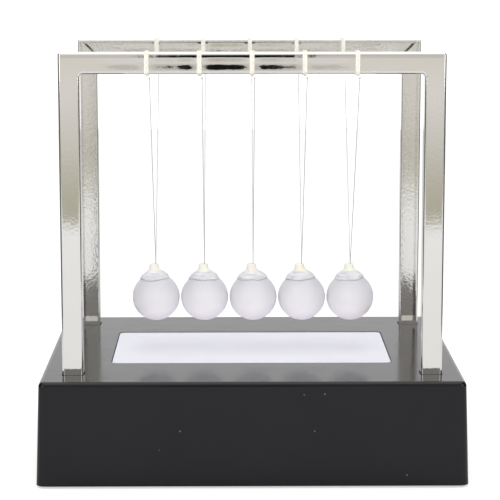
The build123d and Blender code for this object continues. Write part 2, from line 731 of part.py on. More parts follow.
def make_portal(side):
    """A plated channel bent into a portal: side is -1 at the front and 1 at the rear.

    Its smooth web faces outwards and its ribbed, open side faces the balls."""
    face = Plane.XZ.offset(-side * PORTAL_FACE)
    open_side = Plane.XZ.offset(-side * (PORTAL_FACE - BAR_DEPTH))
    height = OVERALL_HEIGHT - FOOT_Z
    last_rib = LINE_X[-1] + RIB_WIDTH / 2
    pocket_outer = PORTAL_WIDTH / 2 - CHANNEL_WALL
    with BuildPart() as portal:
        with BuildSketch(face):
            with Locations((0, FOOT_Z)):
                Rectangle(PORTAL_WIDTH, height, align=(Align.CENTER, Align.MIN))
                Rectangle(
                    PORTAL_WIDTH - 2 * BAR_WIDTH,
                    height - BAR_WIDTH,
                    align=(Align.CENTER, Align.MIN),
                    mode=Mode.SUBTRACT,
                )
        extrude(amount=side * BAR_DEPTH)
        corners = portal.edges().filter_by(Axis.Y).filter_by_position(
            Axis.Z, BAR_UNDERSIDE - 1, OVERALL_HEIGHT + 1
        )
        fillet(corners, PORTAL_CORNER)
        fillet(portal.faces().sort_by(Axis.Y, reverse=side > 0)[0].edges(), PORTAL_EDGE)
        fillet(portal.faces().sort_by(Axis.Y, reverse=side < 0)[0].edges(), LIP_EDGE)
        # pockets of the bar, between the ribs behind the windings
        for left, right in zip(LINE_X[:-1], LINE_X[1:]):
            with BuildSketch(open_side):
                with Locations(((left + right) / 2, BAR_MIDDLE_Z)):
                    RectangleRounded(right - left - RIB_WIDTH, POCKET_WIDTH, POCKET_RADIUS)
            extrude(amount=-side * POCKET_DEPTH, mode=Mode.SUBTRACT)
        # pocket of each leg, which turns the corner and runs to the last rib
        for hand in (-1, 1):
            with BuildSketch(open_side):
                with Locations((hand * LEG_MIDDLE_X, FOOT_Z + FOOT_SOLID)):
                    Rectangle(
                        POCKET_WIDTH,
                        OVERALL_HEIGHT - CHANNEL_WALL - FOOT_Z - FOOT_SOLID,
                        align=(Align.CENTER, Align.MIN),
                    )
                with Locations((hand * (last_rib + pocket_outer) / 2, BAR_MIDDLE_Z)):
                    Rectangle(pocket_outer - last_rib, POCKET_WIDTH)
            extrude(amount=-side * POCKET_DEPTH, mode=Mode.SUBTRACT)
        # diagonal rib across each corner
        with BuildSketch(open_side.offset(-side * CHANNEL_WALL)):
            for hand in (-1, 1):
                with Locations((hand * LEG_MIDDLE_X, BAR_MIDDLE_Z)):
                    Rectangle(BAR_WIDTH, CHANNEL_WALL, rotation=hand * 45)
        extrude(amount=-side * (POCKET_DEPTH - CHANNEL_WALL + SNUG))
        # round marks of the ejector pins on the web
        for x, z in PIN_MARKS:
            with Locations((x, side * (PORTAL_FACE - CHANNEL_WALL), z)):
                Cylinder(PIN_MARK_RADIUS, 2 * PIN_MARK_HEIGHT, rotation=(90, 0, 0))
        # pilot holes for the screws, up into the solid feet
        own_legs = [spot for spot in LEG_SPOTS if spot[1] * side > 0]
        with Locations(*facing(own_legs, FOOT_Z, (0, 0, 1))):
            Cylinder(
                PORTAL_SCREW["shank"] + SNUG,
                PORTAL_SCREW["length"],
                align=(Align.CENTER, Align.CENTER, Align.MIN),
                mode=Mode.SUBTRACT,
            )
    return portal


def make_wraps(side):
    """The five windings on one bar, each with its knot below."""
    middle_y = side * BAR_MIDDLE_Y
    with BuildPart() as wraps:
        for x in LINE_X:
            with BuildSketch(Plane.YZ.offset(x - WRAP_WIDTH / 2)):
                with Locations((middle_y, BAR_MIDDLE_Z)):
                    RectangleRounded(
                        BAR_DEPTH + 2 * (SNUG + WRAP_THICKNESS),
                        BAR_WIDTH + 2 * (SNUG + WRAP_THICKNESS),
                        WRAP_CORNER,
                    )
            extrude(amount=WRAP_WIDTH)
            with Locations((x, middle_y, KNOT_CENTRE_Z)):
                Sphere(KNOT_RADIUS)
            with BuildSketch(Plane.YZ.offset(x - WRAP_WIDTH)):
                with Locations((middle_y, BAR_MIDDLE_Z)):
                    Rectangle(BAR_DEPTH + 2 * SNUG, BAR_WIDTH + 2 * SNUG)
            extrude(amount=2 * WRAP_WIDTH, mode=Mode.SUBTRACT)
    return wraps


# ---------------------------------------------------------------- pendulums


def make_line(x):
    """The V of one line, from bead to bead, with the knot that the cap holds at its foot."""
    knot = (x, 0, line_knot_z())
    front = (x, -BAR_MIDDLE_Y, PIVOT_Z)
    rear = (x, BAR_MIDDLE_Y, PIVOT_Z)
    with BuildPart() as line:
        with BuildLine() as route:
            FilletPolyline(front, knot, rear, radius=LINE_BEND_RADIUS)
        with BuildSketch(route.line ^ 0):
            Circle(LINE_RADIUS)
        sweep(path=route.line)
        with Locations(front, rear):
            Sphere(BEAD_RADIUS)
        with Locations(knot):
            Sphere(LINE_KNOT_RADIUS)
    return line


def line_knot_z():
    """Height of a line's knot, just above the bottom of its cap's hole."""
    return BALL_HEIGHT + NIPPLE_TOP - LINE_HOLE_DEPTH + LINE_KNOT_RADIUS + SNUG


def make_ball(x):
    with BuildPart() as ball:
        with Locations((x, 0, BALL_HEIGHT)):
            Sphere(BALL_DIAMETER / 2)
    return ball


def make_cap(x):
    """A bell that sits on the ball, with a nipple that takes the line's knot."""
    tiers = [
        (SKIRT_EDGE, SKIRT_RADIUS),
        (SHOULDER_HEIGHT, SHOULDER_RADIUS),
        (NIPPLE_ROOT, NIPPLE_RADIUS),
        (NIPPLE_TOP, NIPPLE_TOP_RADIUS),
    ]
    with BuildPart() as cap:
        for (low, low_radius), (high, high_radius) in zip(tiers[:-1], tiers[1:]):
            with Locations((x, 0, BALL_HEIGHT + low)):
                Cone(
                    low_radius,
                    high_radius,
                    high - low,
                    align=(Align.CENTER, Align.CENTER, Align.MIN),
                )
        rims = cap.edges().filter_by(GeomType.CIRCLE).group_by(Axis.Z)
        fillet(rims[3], NIPPLE_EDGE)
        fillet(rims[2], NIPPLE_ROUND)
        fillet(rims[1], SHOULDER_ROUND)
        with Locations((x, 0, BALL_HEIGHT)):
            Sphere(BALL_DIAMETER / 2 + SNUG, mode=Mode.SUBTRACT)
        with Locations((x, 0, BALL_HEIGHT + NIPPLE_TOP)):
            Cylinder(
                LINE_HOLE_RADIUS,
                LINE_HOLE_DEPTH,
                align=(Align.CENTER, Align.CENTER, Align.MAX),
                mode=Mode.SUBTRACT,
            )
            Cone(
                LINE_HOLE_RADIUS,
                FUNNEL_RADIUS,
                FUNNEL_DEPTH,
                align=(Align.CENTER, Align.CENTER, Align.MAX),
                mode=Mode.SUBTRACT,
            )
    return cap


# ---------------------------------------------------------------- build and write every piece

os.makedirs("parts", exist_ok=True)

save(make_base_housing(), "base_housing")
save(make_diffuser_panel(), "diffuser_panel")
save(make_bottom_cover(), "bottom_cover")
save(make_battery_door(), "battery_door")
save(make_rubber_feet(), "rubber_feet")
save(make_led_board(), "led_board")
save(make_leds(), "leds")
save(make_chip_resistors(), "chip_resistors")
save(make_contact_plates(), "contact_plates")
save(make_contact_springs(), "contact_springs")
save(make_switch_body(), "switch_body")
save(make_switch_terminals(), "switch_terminals")
save(make_switch_slider(), "switch_slider")
for number in range(CELL_COUNT):
    save(make_aa_cell(number), f"aa_cell_{number + 1}")

save(flat_screws(COVER_SCREW_PLACES, SMALL_SCREW), "cover_screws")
save(flat_screws(facing([(DOOR_SCREW_X, 0)], COVER_Z, (0, 0, 1)), DOOR_SCREW), "battery_door_screw")
save(pan_screws(facing(LEG_SPOTS, FOOT_Z - SOCKET_FLOOR, (0, 0, 1)), PORTAL_SCREW), "portal_screws")
save(pan_screws(BOARD_SCREW_PLACES, SMALL_SCREW), "board_screws")
save(pan_screws(SWITCH_SCREW_PLACES, TINY_SCREW), "switch_screws")

save(make_wire(BATTERY_LEAD, BATTERY_LEAD_RADII), "battery_lead")
save(make_wire(SWITCH_LEAD, SWITCH_LEAD_RADII), "switch_lead")
save(make_wire(BOARD_LEAD, BOARD_LEAD_RADII), "board_lead")

for side, name in ((-1, "front"), (1, "rear")):
    save(make_portal(side), f"{name}_portal")
    save(make_wraps(side), f"{name}_wraps")

for number, winding_x in enumerate(LINE_X, start=1):
    hang_x = winding_x + LINE_OFFSET
    save(make_line(hang_x), f"line_{number}")
    save(make_cap(hang_x), f"cap_{number}")
    save(make_ball(hang_x), f"ball_{number}")
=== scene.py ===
"""Looks of a desk Newton's cradle on a lit base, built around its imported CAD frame.

Metres, in the CAD's own frame: +X right, -Y front, +Z up, feet on z = 0."""

import math
import random

import bmesh
import bpy
from mathutils import Matrix, Vector


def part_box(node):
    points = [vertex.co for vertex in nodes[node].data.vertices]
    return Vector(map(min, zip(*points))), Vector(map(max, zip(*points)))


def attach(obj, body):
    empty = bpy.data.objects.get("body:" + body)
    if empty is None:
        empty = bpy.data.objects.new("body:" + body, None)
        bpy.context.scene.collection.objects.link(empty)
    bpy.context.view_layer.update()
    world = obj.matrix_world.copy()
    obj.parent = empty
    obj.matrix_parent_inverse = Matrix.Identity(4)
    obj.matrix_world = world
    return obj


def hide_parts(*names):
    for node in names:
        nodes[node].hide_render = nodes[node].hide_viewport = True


MM = 0.001
random.seed(11)
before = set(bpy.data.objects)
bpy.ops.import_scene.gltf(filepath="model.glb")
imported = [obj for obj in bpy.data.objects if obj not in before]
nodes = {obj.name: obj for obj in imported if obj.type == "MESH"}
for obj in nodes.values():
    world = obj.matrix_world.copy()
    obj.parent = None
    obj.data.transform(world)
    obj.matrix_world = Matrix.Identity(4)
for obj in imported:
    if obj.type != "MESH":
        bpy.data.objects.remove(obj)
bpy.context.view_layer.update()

# ---- camera, from a fit to the photograph's edges ----
CAMERA_PLACE = (-0.0093, -0.8613, 0.2280)
CAMERA_PITCH = 9.098  # degrees below the horizon
CAMERA_YAW = 0.593  # degrees to the right
FOCAL_PIXELS = 1927.6
PICTURE_PIXELS = 500
SENSOR = 36.0

# ---- sizes that part.py gives its pieces, millimetres ----
BALL_COUNT = 5
BAR_WIDTH = 9.0
BAR_DEPTH = 7.6
WEB_EDGE = 1.2
OPEN_EDGE = 0.3
PIVOT_Z = 171.5
LINE_OFFSET = 1.0  # a line leaves its winding at the right-hand end
LINE_RADIUS = 0.2
SKIRT_EDGE = 8.6  # heights above the ball's centre
SKIRT_RADIUS = 6.8
SHOULDER_HEIGHT = 10.2
SHOULDER_RADIUS = 6.2
NIPPLE_ROOT = 12.5
NIPPLE_RADIUS = 2.45
NIPPLE_TOP_RADIUS = 2.0
LINE_HOLE_RADIUS = 0.85
LINE_HOLE_DEPTH = 2.1
LINE_KNOT_RADIUS = 0.75

# ---- detail that only the looks have, millimetres ----
THREAD_RADIUS = 0.25
THREAD_TURNS = 4
THREAD_PITCH = 0.48  # a little under the thread's diameter, as wound tight
BAR_CORNER_STEPS = 6  # of a turn of thread round a corner of the bar
KNOT_DROP = 0.55  # knot of a winding below the bar
KNOT_STEPS = 36
WINDING_KNOT = 0.42  # sizes of the tied knots
LINE_END_KNOT = 0.30
CAP_KNOT = 0.50
HOOK_RUN = 2.4  # last straight stretch of a line above its knot
KNOT_GAP = 0.05  # under a line's knot, in its cap
CAP_GAP = 0.03  # between a cap and its ball
CAP_CLEARANCE = 0.1  # below the top of the CAD cap, so that a leaning cap stays inside it
CAP_COLUMNS = 96  # round a cap
CAP_LINING = 5  # points of a cap's inside, from pole to edge
CAP_WAVES = [(2, 0.34), (5, 0.20), (9, 0.10)]  # waves of its edge: how many, and how high
CAP_FADE = 6  # points of the wall from the edge over which the waves die out

portal_low, portal_high = (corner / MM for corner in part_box("front_portal"))
BAR_TOP = portal_high.z
BAR_FACE = -portal_low.y
BAR_MIDDLE_Y = BAR_FACE - BAR_DEPTH / 2
BAR_MIDDLE_Z = BAR_TOP - BAR_WIDTH / 2
BAR_UNDERSIDE = BAR_TOP - BAR_WIDTH
ball_boxes = [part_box(f"ball_{number}") for number in range(1, BALL_COUNT + 1)]
WINDING_X = [(low.x + high.x) / 2 / MM - LINE_OFFSET for low, high in ball_boxes]

# Each cap's nipple colour, and how far the cap leans to the left in degrees.
CAP_TINTS = [
    (0.85, 0.84, 0.79),
    (0.85, 0.84, 0.75),
    (0.86, 0.81, 0.75),
    (0.86, 0.84, 0.72),
    (0.85, 0.86, 0.74),
]
CAP_LEANS = [3.5, 2.0, 3.0, 4.0, 2.5]


# ---------------------------------------------------------------- materials


class Look:
    """A procedural material: a Principled shader, and helpers for the nodes that feed it."""

    def __init__(self, name, values):
        """Starts a material whose shader sockets have the given values."""
        self.material = bpy.data.materials.new(name)
        self.material.use_nodes = True
        self.tree = self.material.node_tree
        self.surface = self.tree.nodes["Principled BSDF"]
        self.place = self.tree.nodes.new("ShaderNodeTexCoord").outputs["Object"]
        self.normal = None
        for socket, value in values.items():
            self.surface.inputs[socket].default_value = value

    def add(self, kind, **settings):
        """A new node with its settings."""
        node = self.tree.nodes.new(kind)
        for name, value in settings.items():
            setattr(node, name, value)
        return node

    def feed(self, node, socket, value):
        """Sets a socket to a number, or links another node's output to it."""
        if isinstance(value, bpy.types.NodeSocket):
            self.tree.links.new(value, node.inputs[socket])
        else:
            node.inputs[socket].default_value = value

    def noise(self, scale, detail=2.0, stretch=None):
        """Soft noise, 0 to 1, with about scale blotches a metre, times stretch along each axis."""
        noise = self.add("ShaderNodeTexNoise")
        vector = self.place
        if stretch is not None:
            mapping = self.add("ShaderNodeMapping")
            self.feed(mapping, "Vector", self.place)
            self.feed(mapping, "Scale", stretch)
            vector = mapping.outputs["Vector"]
        self.feed(noise, "Vector", vector)
        self.feed(noise, "Scale", scale)
        self.feed(noise, "Detail", detail)
        return noise.outputs["Fac"]

    def specks(self, scale, size, share):
        """1 in small round dots, in the given share of cells, and 0 elsewhere."""
        cells = self.add("ShaderNodeTexVoronoi")
        self.feed(cells, "Vector", self.place)
        self.feed(cells, "Scale", scale)
        near = self.spread(cells.outputs["Distance"], size, size * 0.6, 0.0, 1.0)
        split = self.add("ShaderNodeSeparateColor")
        self.feed(split, "Color", cells.outputs["Color"])
        chosen = self.spread(split.outputs["Red"], 1.0 - share, 1.0 - share * 0.8, 0.0, 1.0)
        return self.math("MULTIPLY", near, chosen)

    def math(self, operation, first, second=0.0):
        """The result of one Math node."""
        node = self.add("ShaderNodeMath", operation=operation)
        self.feed(node, 0, first)
        self.feed(node, 1, second)
        return node.outputs["Value"]

    def axis(self, letter):
        """A coordinate of the point being shaded, in metres."""
        split = self.add("ShaderNodeSeparateXYZ")
        self.feed(split, "Vector", self.place)
        return split.outputs[letter]

    def spread(self, value, from_low, from_high, to_low, to_high):
        """The value carried from one range to another, and held at its ends."""
        ramp = self.add("ShaderNodeMapRange")
        inputs = ("Value", "From Min", "From Max", "To Min", "To Max")
        for socket, number in zip(inputs, (value, from_low, from_high, to_low, to_high)):
            self.feed(ramp, socket, number)
        return ramp.outputs["Result"]

    def mix(self, factor, first, second):
        """A colour between two colours, each a triple or another node's output."""
        mix = self.add("ShaderNodeMix", data_type="RGBA")
        self.feed(mix, "Factor", factor)
        for index, colour in ((6, first), (7, second)):
            is_link = isinstance(colour, bpy.types.NodeSocket)
            self.feed(mix, index, colour if is_link else (*colour, 1.0))
        return mix.outputs[2]

    def colour(self, value):
        """Links the surface's colour."""
        self.feed(self.surface, "Base Color", value)

    def roughness(self, source, low, high):
        """Lets the roughness follow a noise between two values.

        A range that crosses 0.27 shows as contour lines once a render is denoised, so none does."""
        self.feed(self.surface, "Roughness", self.spread(source, 0.3, 0.7, low, high))

    def bump(self, height, depth, strength=1.0):
        """Raises the surface by height times depth, on top of the bumps before it."""
        bump = self.add("ShaderNodeBump")
        self.feed(bump, "Height", height)
        self.feed(bump, "Distance", depth)
        self.feed(bump, "Strength", strength)
        if self.normal is not None:
            self.feed(bump, "Normal", self.normal)
        self.normal = bump.outputs["Normal"]
        self.feed(self.surface, "Normal", self.normal)


def moulded(name, dark, light, rough, grain=900.0, depth=0.00001, values=None):
    """Moulded or pressed stuff: mottled colour, uneven gloss and a fine grain."""
    look = Look(name, values or {})
    look.colour(look.mix(look.noise(60.0, 5.0), dark, light))
    look.roughness(look.noise(140.0, 4.0), *rough)
    look.bump(look.noise(grain, 3.0), depth)
    return look.material


def black_shell():
    """Glossy black moulding with dust specks, faint scuffs and orange peel."""
    look = Look("black_shell", {"IOR": 1.40})
    body = look.mix(look.noise(45.0, 6.0), (0.0030, 0.0028, 0.0045), (0.0055, 0.0052, 0.0075))
    look.colour(look.mix(look.specks(230.0, 0.10, 0.08), body, (0.10, 0.10, 0.11)))
    look.roughness(look.noise(70.0, 6.0, stretch=(1.0, 3.0, 1.0)), 0.10, 0.20)
    look.bump(look.noise(420.0, 3.0), 0.000012)
    look.bump(look.noise(25.0, 1.0), 0.00006)
    return look.material


def opal():
    """Milky white acrylic, a little lavender, with a satin skin."""
    look = Look("opal_acrylic", {"IOR": 1.46, "Subsurface Weight": 0.2, "Subsurface Scale": 0.002})
    cloud = look.mix(look.noise(18.0, 3.0), (0.73, 0.73, 0.81), (0.77, 0.77, 0.83))
    look.colour(look.mix(look.specks(160.0, 0.09, 0.05), cloud, (0.60, 0.60, 0.66)))
    look.roughness(look.noise(120.0, 4.0), 0.30, 0.42)
    look.bump(look.noise(700.0, 2.0), 0.000006)
    return look.material


def plated():
    """Bright plating over a moulding: a slight sink along the bar, and a cast skin in the channel."""
    sink_depth, sink_reach, deepest_x = 0.09 * MM, 3.2, -10.0
    curl_height = 0.10 * MM
    look = Look("plated_chrome", {"Metallic": 1.0})
    look.colour(look.mix(look.noise(14.0, 2.0), (0.84, 0.825, 0.795), (0.89, 0.885, 0.87)))
    # inner is 0 on the web's face and 1 on everything behind it
    depth_in = look.math("ABSOLUTE", look.axis("Y"))
    inner = look.spread(depth_in, (BAR_FACE - 0.1) * MM, (BAR_FACE - 1.1) * MM, 0.0, 1.0)
    skin = look.noise(950.0, 3.0)
    gloss = look.spread(skin, 0.3, 0.7, 0.03, 0.07)
    look.feed(look.surface, "Roughness", look.math("ADD", gloss, look.math("MULTIPLY", inner, 0.03)))
    # The web sinks between the bar's ribs, most beside the middle, and curls away at its top edge.
    sink_low = (BAR_MIDDLE_Z - sink_reach) * MM
    sink_high = (BAR_MIDDLE_Z + sink_reach) * MM
    turn = look.spread(look.axis("Z"), sink_low, sink_high, -math.pi, math.pi)
    dip = look.math("MULTIPLY", look.math("COSINE", turn), -0.5)
    from_deepest = look.math("ABSOLUTE", look.math("ADD", look.axis("X"), -deepest_x * MM))
    deep = look.spread(from_deepest, 4 * MM, 34 * MM, 1.15, 0.42)
    ends = look.spread(from_deepest, 40 * MM, 60 * MM, 1.0, 0.0)
    uneven = look.spread(look.noise(1.0, 3.0, stretch=(170.0, 1.0, 1.0)), 0.3, 0.7, 0.70, 1.30)
    from_rib = look.math("ADD", look.axis("X"), -WINDING_X[0] * MM)
    rib_pitch = (WINDING_X[1] - WINDING_X[0]) * MM
    rib_turn = look.math("MULTIPLY", from_rib, 2 * math.pi / rib_pitch)
    between = look.spread(look.math("COSINE", rib_turn), 1.0, 0.35, 0.35, 1.0)
    depth = look.math("MULTIPLY", look.math("MULTIPLY", deep, ends), uneven)
    depth = look.math("MULTIPLY", depth, between)
    look.bump(look.math("MULTIPLY", dip, depth), sink_depth)
    curl = look.spread(look.axis("Z"), (BAR_TOP - 2.3) * MM, (BAR_TOP - 1.2) * MM, 0.0, 1.0)
    look.bump(look.math("MULTIPLY", curl, curl), -curl_height)
    look.bump(look.noise(1.0, 1.0, stretch=(60.0, 20.0, 24.0)), 0.04 * MM)
    look.bump(skin, 0.008 * MM)
    look.bump(look.noise(850.0, 4.0), 0.032 * MM, inner)
    return look.material


def steel():
    """Satin steel of the screws."""
    return moulded(
        "screw_steel", (0.42, 0.42, 0.42), (0.60, 0.59, 0.57), (0.30, 0.44), values={"Metallic": 1.0}
    )


def nickel():
    """Nickel of the battery contacts."""
    return moulded(
        "nickel_plate", (0.62, 0.60, 0.55), (0.74, 0.72, 0.67), (0.30, 0.40), values={"Metallic": 1.0}
    )


def clear_ball():
    """Solid acrylic with a milky haze, painted shade that greys it towards the top, painted light that
    keeps it near white lower down, and fine surface marks.
    """
    look = Look("hazy_acrylic_painted_shade", {"IOR": 1.49, "Transmission Weight": 0.22})
    ball_low, ball_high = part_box("ball_1")
    size = ball_high.z - ball_low.z
    # painted shade: the colour greys towards the top of the ball, where less light falls, and painted
    # light keeps it near white lower down
    height = look.spread(look.axis("Z"), ball_low.z + 0.18 * size, ball_low.z + 0.88 * size, 0.0, 1.0)
    low = look.mix(look.noise(60.0, 3.0), (0.98, 0.94, 0.98), (1.0, 0.96, 1.0))
    look.colour(look.mix(height, low, (0.66, 0.66, 0.70)))
    look.feed(look.surface, "Roughness", look.spread(look.noise(90.0, 1.0), 0.0, 1.0, 0.30, 0.42))
    look.bump(look.noise(1200.0, 2.0), 0.003 * MM)
    return look.material


def milky_cap(number, tint, centre_z):
    """Translucent white skirt with glue streaks, turning to a tinted nipple above."""
    values = {
        "IOR": 1.46,
        "Subsurface Weight": 0.25,
        "Subsurface Scale": 0.002,
        "Transmission Weight": 0.1,
    }
    look = Look(f"milky_cap_{number}", values)
    streaks = look.noise(1.0, 4.0, stretch=(200.0, 200.0, 1100.0))
    skirt = look.mix(look.spread(streaks, 0.35, 0.65, 0.0, 1.0), (0.56, 0.56, 0.60), (0.78, 0.78, 0.80))
    above = look.spread(look.axis("Z"), (centre_z + 11.6) * MM, (centre_z + 12.6) * MM, 0.0, 1.0)
    look.colour(look.mix(above, skirt, tint))
    look.roughness(streaks, 0.30, 0.46)
    look.bump(streaks, 0.16 * MM)
    return look.material


def thread(name, pale, deep):
    """Waxed thread with fibres along it."""
    look = Look(name, {"Sheen Weight": 0.25, "Subsurface Weight": 0.15, "Subsurface Scale": 0.0006})
    fibres = look.noise(1.0, 3.0, stretch=(2600.0, 900.0, 900.0))
    look.colour(look.mix(look.spread(fibres, 0.35, 0.65, 0.0, 1.0), deep, pale))
    look.roughness(fibres, 0.5, 0.7)
    look.bump(fibres, 0.06 * MM)
    return look.material


def nylon():
    """Thin grey monofilament."""
    look = Look("nylon_line", {"IOR": 1.53, "Transmission Weight": 0.15})
    look.colour(look.mix(look.noise(300.0, 2.0), (0.50, 0.49, 0.50), (0.66, 0.65, 0.66)))
    look.roughness(look.noise(500.0, 2.0), 0.30, 0.40)
    look.bump(look.noise(2500.0, 2.0), 0.02 * MM)
    return look.material


def dress(node_name, material):
    """Gives a CAD node its material."""
    slots = nodes[node_name].data.materials
    slots.clear()
    slots.append(material)


def dress_cad():
    """Gives every CAD node that stays its material."""
    shell = black_shell()
    steel_look = steel()
    rubber = moulded("foot_rubber", (0.018, 0.018, 0.018), (0.035, 0.034, 0.033), (0.65, 0.85))
    board = moulded("white_board", (0.70, 0.70, 0.68), (0.80, 0.80, 0.78), (0.3, 0.45))
    package = moulded("led_gel", (0.72, 0.62, 0.25), (0.85, 0.77, 0.40), (0.25, 0.4))
    dark = moulded("dark_moulding", (0.02, 0.02, 0.02), (0.04, 0.04, 0.04), (0.4, 0.6))
    jacket = moulded("cell_jacket", (0.05, 0.14, 0.22), (0.08, 0.20, 0.30), (0.18, 0.3))
    red = moulded("red_insulation", (0.35, 0.01, 0.01), (0.5, 0.02, 0.02), (0.3, 0.45))
    black = moulded("black_insulation", (0.012, 0.012, 0.012), (0.025, 0.025, 0.025), (0.3, 0.45))
    screw_names = ("cover", "portal", "board", "switch")
    dresses = [
        (shell, ["base_housing", "bottom_cover", "battery_door", "switch_slider"]),
        (plated(), ["front_portal", "rear_portal"]),
        (opal(), ["diffuser_panel"]),
        (rubber, ["rubber_feet"]),
        (board, ["led_board"]),
        (package, ["leds"]),
        (dark, ["chip_resistors", "switch_body"]),
        (nickel(), ["contact_plates", "contact_springs", "switch_terminals"]),
        (steel_look, [f"{name}_screws" for name in screw_names] + ["battery_door_screw"]),
        (jacket, ["aa_cell_1", "aa_cell_2", "aa_cell_3"]),
        (red, ["battery_lead", "switch_lead"]),
        (black, ["board_lead"]),
        (clear_ball(), [f"ball_{number}" for number in range(1, BALL_COUNT + 1)]),
    ]
    for material, names in dresses:
        for name in names:
            dress(name, material)


# ---------------------------------------------------------------- objects from data and points


def add_object(name, data):
    """Puts a mesh, curve, light or camera into the scene."""
    thing = bpy.data.objects.new(name, data)
    bpy.context.scene.collection.objects.link(thing)
    return thing


def new_curve(name, radius):
    """An empty curve with a round section of the given radius in mm."""
    curve = bpy.data.curves.new(name, "CURVE")
    curve.dimensions = "3D"
    curve.bevel_depth = radius * MM
    curve.bevel_resolution = 3
    curve.use_fill_caps = True
    return curve


def add_spline(curve, kind, points):
    """A spline of the curve through, or pulled by, points in mm."""
    spline = curve.splines.new(kind)
    spline.points.add(len(points) - 1)
    for point, place in zip(spline.points, points):
        point.co = (*(Vector(place) * MM), 1.0)
    return spline


def add_strands(name, runs, radius, materials):
    """One object of round strands. Each run is its points in mm and its material's number."""
    curve = new_curve(name, radius)
    for points, material_number in runs:
        spline = add_spline(curve, "POLY", points)
        spline.material_index = material_number
        spline.use_smooth = True
    for material in materials:
        curve.materials.append(material)
    return add_object(name, curve)


def add_mesh(name, points, faces, material):
    """One smooth, welded mesh object from points in mm."""
    mesh = bpy.data.meshes.new(name)
    mesh.from_pydata([Vector(point) * MM for point in points], [], faces)
    welded = bmesh.new()
    welded.from_mesh(mesh)
    bmesh.ops.remove_doubles(welded, verts=welded.verts, dist=0.004 * MM)
    bmesh.ops.dissolve_degenerate(welded, edges=welded.edges, dist=0.001 * MM)
    bmesh.ops.recalc_face_normals(welded, faces=welded.faces)
    welded.to_mesh(mesh)
    welded.free()
    mesh.materials.append(material)
    mesh.shade_smooth()
    return add_object(name, mesh)


# ---------------------------------------------------------------- pieces that replace CAD nodes


def loop_round_bar(gap):
    """(y, z) points of one turn round a bar's section, gap outside it, web on the -y side."""
    half_y = BAR_DEPTH / 2 + gap
    half_z = BAR_WIDTH / 2 + gap
    corners = [(-1, -1, WEB_EDGE), (-1, 1, WEB_EDGE), (1, 1, OPEN_EDGE), (1, -1, OPEN_EDGE)]
    points = [(0.0, -half_z)]
    for index, (side_y, side_z, edge) in enumerate(corners):
        radius = edge + gap
        for step in range(BAR_CORNER_STEPS + 1):
            angle = math.radians(270 - 90 * index - 90 * step / BAR_CORNER_STEPS)
            y = side_y * (half_y - radius) + radius * math.cos(angle)
            z = side_z * (half_z - radius) + radius * math.sin(angle)
            points.append((y, z))
    return points


def winding(x, side):
    """Points of a thread wound round a bar at x, with small slips between its turns."""
    points = []
    left = x - THREAD_PITCH * THREAD_TURNS / 2
    for turn in range(THREAD_TURNS):
        loop = loop_round_bar(THREAD_RADIUS + random.uniform(0.0, 0.12))
        slip = random.uniform(-0.06, 0.06)
        for index, (y, z) in enumerate(loop):
            share = index / len(loop)
            along = left + THREAD_PITCH * (turn + share) + slip * math.sin(math.pi * share)
            points.append((along, side * (BAR_MIDDLE_Y - y), BAR_MIDDLE_Z + z))
    return points


def tied_knot(centre, size, turn):
    """Points of a trefoil, as an overhand knot pulled tight."""
    points = []
    spin = Matrix.Rotation(turn, 3, "X")
    for step in range(KNOT_STEPS + 1):
        angle = 2 * math.pi * step / KNOT_STEPS
        across = math.sin(angle) + 2 * math.sin(2 * angle)
        through = -1.2 * math.sin(3 * angle)
        up = math.cos(angle) - 2 * math.cos(2 * angle)
        points.append(Vector(centre) + spin @ (Vector((across, through, up)) * size / 3))
    return points


def make_windings(side, node_name, looks):
    """Five windings on a bar, each with its knot and a short cut tail."""
    runs = []
    for number, x in enumerate(WINDING_X):
        look_number = 1 if number in (0, 2) else 0
        runs.append((winding(x, side), look_number))
        knot = Vector((x + 0.3, side * BAR_MIDDLE_Y, BAR_UNDERSIDE - KNOT_DROP))
        runs.append((tied_knot(knot, WINDING_KNOT, random.uniform(-0.5, 0.5)), look_number))
        tip = knot + Vector((random.uniform(-0.7, -0.3), -side * 0.5, random.uniform(-0.5, -0.2)))
        middle = (knot + tip) / 2 + Vector((0, 0, 0.1))
        runs.append(([knot, middle, tip], look_number))
    piece = add_strands(f"{node_name}_thread", runs, THREAD_RADIUS, looks)
    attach(piece, "base")
    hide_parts(node_name)


def make_line(number, look):
    """The V of nylon from bead to bead as one smooth spline, with its tied ends and its knot."""
    body = f"pendulum_{number}"
    x = WINDING_X[number - 1] + LINE_OFFSET
    cap_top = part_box(f"cap_{number}")[1].z / MM
    knot_z = cap_top - LINE_HOLE_DEPTH + LINE_KNOT_RADIUS + KNOT_GAP
    front = Vector((x, -BAR_MIDDLE_Y, PIVOT_Z))
    rear = Vector((x, BAR_MIDDLE_Y, PIVOT_Z))
    knot = Vector((x, 0, knot_z))
    above_front = knot + (front - knot).normalized() * HOOK_RUN
    above_rear = knot + (rear - knot).normalized() * HOOK_RUN
    curve = new_curve(f"line_{number}_nylon", LINE_RADIUS)
    spline = add_spline(curve, "NURBS", [front, above_front, knot, above_rear, rear])
    spline.order_u = 3
    spline.use_endpoint_u = True
    spline.resolution_u = 12
    curve.materials.append(look)
    line = add_object(f"line_{number}_nylon", curve)
    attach(line, body)
    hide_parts(f"line_{number}")
    ties = [
        (tied_knot(front, LINE_END_KNOT, 0.4), 0),
        (tied_knot(rear, LINE_END_KNOT, -0.4), 0),
        (tied_knot(knot, CAP_KNOT, 0.0), 0),
    ]
    knots = add_strands(f"line_{number}_knots", ties, LINE_RADIUS, [look])
    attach(knots, body)


